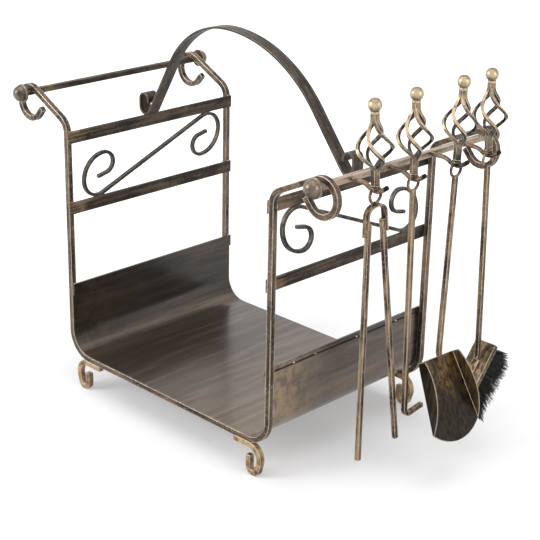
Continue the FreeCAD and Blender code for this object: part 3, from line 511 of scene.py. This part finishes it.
def golden_share(look, broad, near_flange, far_flange):
    """How golden the pan is: from a drifting border upward, and in streaks on its far flange, partly
    painted light.
    """
    drift = look.times(look.math("SUBTRACT", broad, 0.5), GOLD_DRIFT)
    height = look.math("ADD", look.part(look.place, "Z"), drift)
    upper = look.times(
        look.ramp(height, *GOLD_HEIGHT),
        look.math("MULTIPLY_ADD", near_flange, -NEAR_FLANGE_SHADE, 1.0),
        look.ramp(look.noise(*PAN_CLOUDS), *GOLD_CLOUDS),
    )
    return look.math("MAXIMUM", upper, look.times(far_flange, look.ramp(broad, *FLANGE_STREAKS)))


def pan_sheet():
    """Shovel pan: golden at the shaft, burnt dark towards the lip, scratched along its length."""
    look = Finish("pan_sheet")
    along = look.stretched(PAN_DRAWN, (0, PAN_SLOPE, 0))
    broad = look.noise(*PAN_BROAD, along)
    fine = look.noise(*PAN_FINE, along)
    flange = look.ramp(look.math("ABSOLUTE", look.part(look.normal, "Y")), *FLANGE_FACING)
    far_flange = look.times(flange, look.ramp(look.part(look.place, "Y"), *FAR_SIDE))
    near_flange = look.math("SUBTRACT", flange, far_flange)
    golden = golden_share(look, broad, near_flange, far_flange)
    near_edge, rounded = look.edges(PAN_EDGE, *PAN_EDGE_BEND)
    scratch = look.ramp(fine, *PAN_SCRATCHES)
    base = look.mix(golden, look.mix(scratch, *PAN_DARK), look.mix(scratch, *PAN_GOLD))
    # The far flange made lighter and golden: its gold, and painted light where it lies in shade.
    base = look.mix(far_flange, base, look.mix(scratch, *FLANGE_GOLD_AND_LIGHT))
    # Lighter along the pan's edges: rubbed, and a painted highlight.
    base = look.mix(look.times(near_edge, PAN_EDGE_STRENGTH), base, PAN_RUBBED_AND_SHEEN)
    rough = look.ramp(fine, *PAN_ROUGHNESS)
    return look.finish(base, rough, PAN_METALLIC, fine, PAN_RELIEF, rounded, PAN_COAT)


# Bristles: the fibres' two shades, noises and ramps
FIBRE_DARK = rgb(0.012, 0.011, 0.010)
FIBRE_PALE = rgb(0.070, 0.065, 0.060)
FIBRE_SHADES = (300.0, 2.0, 0.55)
FIBRE_GRAIN = (1500.0, 2.0, 0.55)
FIBRE_TONES = (0.35, 0.7)
FIBRE_ROUGHNESS = (0.0, 1.0, 0.6, 0.42)
FIBRE_RELIEF = 0.1


def bristle_fibre():
    """Stiff black fibre, a little paler and glossier here and there."""
    look = Finish("bristle_fibre")
    tone = look.ramp(look.noise(*FIBRE_SHADES), *FIBRE_TONES)
    base = look.mix(tone, FIBRE_DARK, FIBRE_PALE)
    rough = look.ramp(tone, *FIBRE_ROUGHNESS)
    return look.finish(base, rough, metallic=0.0, height=look.noise(*FIBRE_GRAIN), relief=FIBRE_RELIEF)


# All finishes by name. The four hooks end at one X, so one of them tells where they are burnt
HOOK_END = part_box("tongs_hook")[1].x
BURNT_TIP = (HOOK_END - 5 * MM, HOOK_END - 3 * MM)
FINISHES = {
    "frame": forged_metal("blackened_bronze", BRONZE, patch=(0.40, 0.60), wear_and_sheen=1.0, gloss=0.32,
                          metallic=0.3, edge=2.2 * MM, posts=True),
    "foot": forged_metal("foot_bronze", FOOT_BRONZE, patch=(0.36, 0.58), wear_and_sheen=0.9, gloss=0.34,
                         metallic=0.3, edge=2.2 * MM),
    "knob": forged_metal("knob_bronze", KNOB_BRONZE, patch=(0.36, 0.60), wear_and_sheen=0.9, gloss=0.22,
                         metallic=0.4, edge=1.2 * MM, relief=0.05, coat=0.35),
    "rail": forged_metal("rail_bronze", RAIL_BRONZE, patch=(0.38, 0.58), wear_and_sheen=0.9, gloss=0.34,
                         metallic=0.3, edge=1.8 * MM, drawn=LENGTHWISE),
    "hook": forged_metal("hook_bronze", HOOK_BRONZE, patch=(0.38, 0.60), wear_and_sheen=0.85, gloss=0.36,
                         metallic=0.5, drawn=HOOKWISE, burnt=BURNT_TIP),
    "wire": forged_metal("wire_bronze", WIRE_BRONZE, patch=(0.40, 0.62), wear_and_sheen=0.8, gloss=0.34,
                         metallic=0.5, edge=1.3 * MM),
    "slat": forged_metal("slat_bronze", SLAT_BRONZE, patch=(0.40, 0.66), wear_and_sheen=0.6, gloss=0.40,
                         metallic=0.55, edge=1.0 * MM, drawn=LENGTHWISE, bare_end=True),
    "handle": forged_metal("handle_bronze", HANDLE_BRONZE, patch=(0.36, 0.62), wear_and_sheen=0.8, gloss=0.36,
                           metallic=0.6, edge=1.2 * MM, drawn=ARCHWISE),
    "tool": forged_metal("antique_brass", BRASS, patch=(0.42, 0.57), wear_and_sheen=0.9, gloss=0.30,
                         metallic=0.4, edge=1.6 * MM, drawn=UPRIGHT),
    "ball": forged_metal("rubbed_brass", BALL_BRASS, patch=(0.28, 0.52), wear_and_sheen=0.5, gloss=0.24,
                         metallic=0.4, drawn=ALL_WAYS, painted_shade=(UNDER_SHADE, CAP_REFLECTION), relief=0.04, coat=0.4),
    "block": forged_metal("block_lacquer", BLOCK_LACQUER, patch=(0.42, 0.62), wear_and_sheen=1.0, gloss=0.36,
                          metallic=0.5, edge=1.5 * MM, drawn=UPRIGHT),
    "tack": forged_metal("tack_metal", TACK_METAL, patch=(0.30, 0.50), wear_and_sheen=0.5, gloss=0.3,
                         metallic=0.4),
    "tray": streaked_sheet("tray_sheet", painted_rim_shadow=True),
    "low_slat": streaked_sheet("low_slat_lacquer"),
    "pan": pan_sheet(),
    "bristle": bristle_fibre(),
}
for tool_name in TOOLS:
    FINISHES[f"{tool_name}_grip"] = forged_metal(
        f"{tool_name}_grip_brass", GRIP_BRASS, patch=(0.38, 0.58), wear_and_sheen=0.95, gloss=0.26,
        metallic=0.45, edge=1.3 * MM, basket=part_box(f"{tool_name}_basket_grip"), painted_shade=(WIRE_UNDER_SHADE,))

# Finishes by the end of a node's name, the longer ends before the shorter ones that they hold
FINISH_BY_ENDING = (
    ("log_tray", "tray"),
    ("_lower_slat", "low_slat"),
    ("_slat", "slat"),
    ("left_rail", "slat"),  # as dark as the slats
    ("_rail", "rail"),
    ("shovel_pan", "pan"),
    ("brush_block", "block"),
    ("carry_handle", "handle"),
    ("_ball_finial", "ball"),
    ("_ornament", "wire"),
    ("_hook", "hook"),
    ("_knob", "knob"),
    ("_foot", "foot"),
)


def finish_for(name):
    """The finish of a node. What has no ending listed is a piece of a tool or of a frame."""
    owner = name.split("_")[0]
    if name.endswith("_basket_grip"):
        return f"{owner}_grip"
    for ending, finish in FINISH_BY_ENDING:
        if name.endswith(ending):
            return finish
    return "tool" if owner in TOOLS else "frame"


def dress_nodes():
    for name, node in nodes.items():
        node.data.materials.clear()
        node.data.materials.append(FINISHES[finish_for(name)])


def new_piece(name, build, finish, body=None, smooth=True):
    """A mesh object made by a function that fills a bmesh, dressed and riding on the body named."""
    mesh = bpy.data.meshes.new(name)
    shape = bmesh.new()
    build(shape)
    bmesh.ops.recalc_face_normals(shape, faces=shape.faces)
    shape.to_mesh(mesh)
    shape.free()
    for face in mesh.polygons:
        face.use_smooth = smooth
    piece = bpy.data.objects.new(name, mesh)
    bpy.context.scene.collection.objects.link(piece)
    mesh.materials.append(FINISHES[finish])
    if body:
        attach(piece, body)
    return piece


def sweep(shape, stations):
    """Skin a run of closed sections, each a list of points, with both ends capped."""
    rings = [[shape.verts.new(point) for point in section] for section in stations]
    count = len(rings[0])
    for near, far in zip(rings, rings[1:]):
        for index in range(count):
            after = (index + 1) % count
            shape.faces.new((near[index], near[after], far[after], far[index]))
    shape.faces.new(rings[0])
    shape.faces.new(rings[-1])


# Brush: degrees that it leans and its block tilts, the block's size, and the reach of the bristles
BRUSH_LEAN = 2.3
BRUSH_TILT = 41
BRUSH_TURN = math.radians(BRUSH_LEAN - BRUSH_TILT)
BLOCK_HALF_LENGTH = 40.5 * MM
BLOCK_HALF_WIDTH = 16.75 * MM
BLOCK_HALF_THICKNESS = 4 * MM
BRISTLE_LENGTH = 33 * MM
BRISTLE_INSET = 2 * MM
BRISTLE_FLARE = 4 * MM
BRISTLE_DROOP = 20 * MM
BRISTLE_CROWN = 18 * MM
CROWN_FALL = 4
ROOT_MARGIN = 2 * MM
ROOT_DEPTH = 0.5 * MM
ROOT_HALF_WIDTH = BLOCK_HALF_WIDTH - BRISTLE_INSET - ROOT_MARGIN
ROOT_HALF_LENGTH = BLOCK_HALF_LENGTH - BRISTLE_INSET - ROOT_MARGIN
TIP_HALF_WIDTH = BLOCK_HALF_WIDTH - BRISTLE_INSET + BRISTLE_FLARE
TIP_REACH_UP = BLOCK_HALF_LENGTH - BRISTLE_INSET + BRISTLE_FLARE
TIP_REACH_DOWN = BLOCK_HALF_LENGTH - BRISTLE_INSET + BRISTLE_DROOP

# Tufts: their number and size, and how far their tips fan out, lean, spread and scatter, in shares
TUFT_SEED = 7
TUFT_ROWS = 12
TUFT_COLUMNS = 5
TUFT_RADIUS = 1.9 * MM
FAN_ACROSS = 0.92
FAN_ALONG = 1.07
LEAN_ACROSS = 0.12
LEAN_ALONG = 0.04
SPREAD_ACROSS = 0.24
SPREAD_ALONG = 0.13
SCATTER_ACROSS = 0.05
SCATTER_ALONG = 0.06

# Strands: three-cornered fibres, whose taper is in shares of the length and of the radius there
STRANDS = 58
STRAND_SAG = 0.9 * MM
STRAND_RADII = (0.26 * MM, 0.40 * MM)
STRAND_REACH = (0.88, 1.0)
STRAND_CORNERS = [2 * math.pi * corner / 3 for corner in range(3)]
STRAND_TAPER = ((0.0, 1.0), (0.5, 0.95), (1.0, 0.7))

# A direction that no strand takes, from which its sides are found
ASKEW = Vector((0.3, 0.5, 0.8))


def within_one(share):
    return max(-1.0, min(1.0, share))


def strand_course(draw, u, v, lean_u, lean_v):
    """Start, end and sag of a strand: across the block, along it and out from its face.

    u and v are the tuft's place across and along the block, from -1 at one edge to 1 at the other.
    """
    angle = draw.uniform(0, 2 * math.pi)
    off = Vector((math.cos(angle), math.sin(angle), 0)) * math.sqrt(draw.random())
    share_u = within_one(u * FAN_ACROSS + lean_u + off.x * SPREAD_ACROSS + draw.gauss(0, SCATTER_ACROSS))
    share_v = within_one(v * FAN_ALONG + lean_v + off.y * SPREAD_ALONG + draw.gauss(0, SCATTER_ALONG))
    crown = BRISTLE_CROWN * (1 - max(share_v, 0.0) ** CROWN_FALL) * (1 + share_u) / 2
    root = Vector((u * ROOT_HALF_WIDTH, v * ROOT_HALF_LENGTH, 0)) + off * TUFT_RADIUS
    tip = Vector((
        share_u * TIP_HALF_WIDTH,
        share_v * (TIP_REACH_UP if share_v > 0 else TIP_REACH_DOWN),
        BRISTLE_LENGTH + crown,
    ))
    end = root.lerp(tip, draw.uniform(*STRAND_REACH))
    sag = Vector((draw.uniform(-1, 1), draw.uniform(-1, 1), 0)) * STRAND_SAG
    return root - Vector((0, 0, ROOT_DEPTH)), end, sag


def strand(shape, start, end, sag, radius):
    """One blunt fibre with a slight bow."""
    run = (end - start).normalized()
    side = run.cross(ASKEW).normalized()
    other = run.cross(side)
    spokes = [side * math.cos(angle) + other * math.sin(angle) for angle in STRAND_CORNERS]
    rings = []
    for share, taper in STRAND_TAPER:
        spot = start.lerp(end, share) + sag * math.sin(math.pi * share)
        rings.append([spot + spoke * radius * taper for spoke in spokes])
    sweep(shape, rings)


def build_tufts(shape):
    """Stiff fibres in rows of tufts, fanned out and ragged at their tips."""
    draw = random.Random(TUFT_SEED)
    low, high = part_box("brush_block")
    along = Vector((0, -math.sin(BRUSH_TURN), math.cos(BRUSH_TURN)))
    outward = Vector((0, math.cos(BRUSH_TURN), math.sin(BRUSH_TURN)))
    turn = Matrix((ACROSS, along, outward)).transposed()
    face = (low + high) / 2 + outward * BLOCK_HALF_THICKNESS
    for row, column in itertools.product(range(TUFT_ROWS), range(TUFT_COLUMNS)):
        u = 2 * (column + 0.5) / TUFT_COLUMNS - 1
        v = 2 * (row + 0.5) / TUFT_ROWS - 1
        lean_u = draw.uniform(-LEAN_ACROSS, LEAN_ACROSS)
        lean_v = draw.uniform(-LEAN_ALONG, LEAN_ALONG)
        for _ in range(STRANDS):
            start, end, sag = strand_course(draw, u, v, lean_u, lean_v)
            radius = draw.uniform(*STRAND_RADII)
            strand(shape, face + turn @ start, face + turn @ end, turn @ sag, radius)


# Tongs: the spring bow, as two halves
BOW_STRIP = 10 * MM
BOW_THICKNESS = 2.5 * MM
BOW_SOFTENING = 0.5 * MM
BOW_SPAN = 33 * MM
BOW_BEND = 13 * MM
BOW_LEG = 26 * MM
BOW_BEND_STEPS = 12
BOW_LEG_STEPS = 8
TONGS_SPLAY = math.radians(4.3)


def bow_section(middle, outward):
    """A rectangle across the strip with its corners cut."""
    wide, thick = BOW_STRIP / 2, BOW_THICKNESS / 2
    less_wide, less_thick = wide - BOW_SOFTENING, thick - BOW_SOFTENING
    outline = (
        (wide, less_thick), (less_wide, thick), (-less_wide, thick), (-wide, less_thick),
        (-wide, -less_thick), (-less_wide, -thick), (less_wide, -thick), (wide, -less_thick),
    )
    return [middle + ACROSS * x + outward * y for x, y in outline]


def bow_stations(crown, side, up):
    """Sections from the middle of the bow's crown, round its bend and down one leg."""
    flat = BOW_SPAN / 2 - BOW_BEND * math.cos(TONGS_SPLAY)
    stations = [bow_section(crown + side * flat * share, up) for share in (0, 0.5, 1)]
    bend_middle = crown + side * flat - up * BOW_BEND
    for step in range(1, BOW_BEND_STEPS + 1):
        angle = (math.pi / 2 - TONGS_SPLAY) * step / BOW_BEND_STEPS
        out = side * math.sin(angle) + up * math.cos(angle)
        leg_top = bend_middle + out * BOW_BEND
        stations.append(bow_section(leg_top, out))
    down = side * math.sin(TONGS_SPLAY) - up * math.cos(TONGS_SPLAY)
    for step in range(1, BOW_LEG_STEPS + 1):
        stations.append(bow_section(leg_top + down * BOW_LEG * step / BOW_LEG_STEPS, out))
    return stations


def make_bow():
    joints = {joint["name"]: joint for joint in frame["joints"]}
    pivots = [Vector(joints[f"tongs_{end}_squeeze"]["pos_m"]) for end in ENDS]
    depth = (pivots[1] - pivots[0]).normalized()
    up = ACROSS.cross(depth)
    crown = (pivots[0] + pivots[1]) / 2 + up * BOW_BEND * (1 - math.sin(TONGS_SPLAY))
    for end, pivot, side in zip(ENDS, pivots, (-depth, depth)):
        stations = bow_stations(crown, side, up)
        half = new_piece(f"tongs_bow_{end}_half", lambda shape: sweep(shape, stations),
                         "tool", smooth=False)
        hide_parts("tongs_spring_bow")
        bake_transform(half)


# Welds: half sizes of the beads in X, Y and Z, how uneven they are and where they sit
SLAT_BEAD = (1.3 * MM, 2.9 * MM, 1.2 * MM)
HOOK_BEAD = (1.6 * MM, 3.6 * MM, 2.4 * MM)
FOOT_BEAD = (1.6 * MM, 3.4 * MM, 1.3 * MM)
TACK_BEAD = (1.0 * MM, 1.9 * MM, 1.2 * MM)
BEAD_SWELL = 0.28
BEAD_LUMPS = 1.7
BEAD_SHUFFLE = Vector((3.1, 1.7, 0))
SLAT_BEAD_SUNK = 0.4 * MM
HOOK_BEAD_RAISED = 2.5 * MM
TACK_RAISED = 0.3 * MM
TACK_PLACES = (0.17, 0.30, 0.56, 0.82)
FIRST_TACK_SEED = 51


def bead(shape, spot, sizes, seed):
    """An uneven lump of weld metal."""
    made = bmesh.ops.create_icosphere(shape, subdivisions=2, radius=1.0)
    for vert in made["verts"]:
        swell = 1 + BEAD_SWELL * noise.noise(vert.co * BEAD_LUMPS + BEAD_SHUFFLE * seed)
        vert.co = Vector(vert.co[i] * sizes[i] for i in range(3)) * swell + spot


def build_welds(shape):
    """Beads at the slats' corners on the posts, at the hooks' roots and at the feet's inner ends."""
    seeds = itertools.count(1)
    for side, slat in itertools.product(SIDES, ("upper", "middle", "lower")):
        low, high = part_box(f"{side}_{slat}_slat")
        x = low.x + SLAT_BEAD_SUNK if side == "left" else high.x - SLAT_BEAD_SUNK
        for y, z in itertools.product((low.y + BAR / 2, high.y - BAR / 2), (low.z, high.z)):
            bead(shape, Vector((x, y, z)), SLAT_BEAD, next(seeds))
    rail_low, rail_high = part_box("right_rail")
    root_level = (rail_low.z + rail_high.z) / 2 + HOOK_BEAD_RAISED
    for tool in TOOLS:
        low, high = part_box(f"{tool}_hook")
        bead(shape, Vector((rail_high.x, (low.y + high.y) / 2, root_level)), HOOK_BEAD, next(seeds))
    for side, end in itertools.product(SIDES, ENDS):
        low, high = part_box(f"{side}_{end}_foot")
        inner = high.x if side == "left" else low.x
        bead(shape, Vector((inner, (low.y + high.y) / 2, high.z)), FOOT_BEAD, next(seeds))


def build_tacks(shape):
    """Bright tack welds between the tray's upper edges and the lower slats."""
    seeds = itertools.count(FIRST_TACK_SEED)
    for side in SIDES:
        low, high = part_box(f"{side}_lower_slat")
        x = low.x if side == "left" else high.x
        for share in TACK_PLACES:
            spot = Vector((x, low.y + (high.y - low.y) * share, tray_high.z + TACK_RAISED))
            bead(shape, spot, TACK_BEAD, next(seeds))


# Stage: how far the floor reaches, its painted shadow in the middle fading to white, and the light of the
# surroundings
FLOOR_HALF = 9.0
FLOOR_COLOUR = rgb(0.62, 0.62, 0.63)
FLOOR_SHADOW_AND_FADE = (0.2, 1.4, 0.33, 1.0)
SKY_STRENGTH = (0.35, 1.0)
WHITE = (1, 1, 1)
WARM_WHITE = (1.0, 0.97, 0.93)


def floor_finish():
    """Pale, its glow for the camera growing outward: it keeps the shadow and adds a painted one in the
    middle.
    """
    look = Finish("floor")
    distance = look.vector("LENGTH", look.place)
    # The weak glow near the middle greys the floor there: a painted shadow round the carrier.
    strength = look.times(look.seen_directly(), look.ramp(distance, *FLOOR_SHADOW_AND_FADE, "LINEAR"))
    diffuse = look.add("BsdfDiffuse", Color=FLOOR_COLOUR)
    glow = look.add("Emission", Strength=strength)
    both = look.add("AddShader")
    look.feed_all(both, diffuse.outputs[0], glow.outputs[0])
    look.add("OutputMaterial", Surface=both.outputs[0])
    return look.material


def lay_floor():
    mesh = bpy.data.meshes.new("floor")
    corners = [(x * FLOOR_HALF, y * FLOOR_HALF, 0) for x, y in ((-1, -1), (1, -1), (1, 1), (-1, 1))]
    mesh.from_pydata(corners, [], [(0, 1, 2, 3)])
    mesh.materials.append(floor_finish())
    floor = bpy.data.objects.new("floor", mesh)
    bpy.context.scene.collection.objects.link(floor)


def light_surroundings():
    """White where they are seen, and dimmer as light on the object."""
    world = bpy.data.worlds.new("world")
    bpy.context.scene.world = world
    world.use_nodes = True
    sky = NodeTree(world.node_tree)
    background = sky.tree.nodes["Background"]
    sky.feed(background.inputs["Color"], rgb(*WHITE))
    strength = sky.ramp(sky.seen_directly(), 0.0, 1.0, *SKY_STRENGTH, "LINEAR")
    sky.feed(background.inputs["Strength"], strength)


def area_light(name, spot, target, size, power, tint=WHITE):
    data = bpy.data.lights.new(name, "AREA")
    data.shape = "RECTANGLE"
    data.size, data.size_y = size
    data.energy = power
    data.color = tint
    light = bpy.data.objects.new(name, data)
    light.location = spot
    light.rotation_euler = (Vector(target) - Vector(spot)).to_track_quat("-Z", "Y").to_euler()
    bpy.context.scene.collection.objects.link(light)


def build_stage():
    """Pale floor that keeps the shadow, white surroundings and three soft lamps."""
    lay_floor()
    light_surroundings()
    area_light("overhead", spot=(0.1, -0.3, 2.6), target=(0, 0, 0.2), size=(3.0, 2.6), power=46)
    area_light("right", spot=(2.4, 0.2, 1.3), target=(0.2, 0, 0.35), size=(1.0, 1.6), power=19,
               tint=WARM_WHITE)
    area_light("front_left", spot=(-1.4, -2.3, 1.5), target=(0, 0, 0.3), size=(1.4, 1.4), power=48)


place_camera()
dress_nodes()
tufts = new_piece("brush_tufts", build_tufts, "bristle", "brush", smooth=False)
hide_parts("brush_bristles")
make_bow()
# The weld beads take the bright foot finish: weld metal, with painted glints.
new_piece("weld_beads", build_welds, "foot", "carrier")
new_piece("tray_tacks", build_tacks, "tack", "carrier")
build_stage()

view = bpy.context.scene.view_settings
view.view_transform = "Standard"
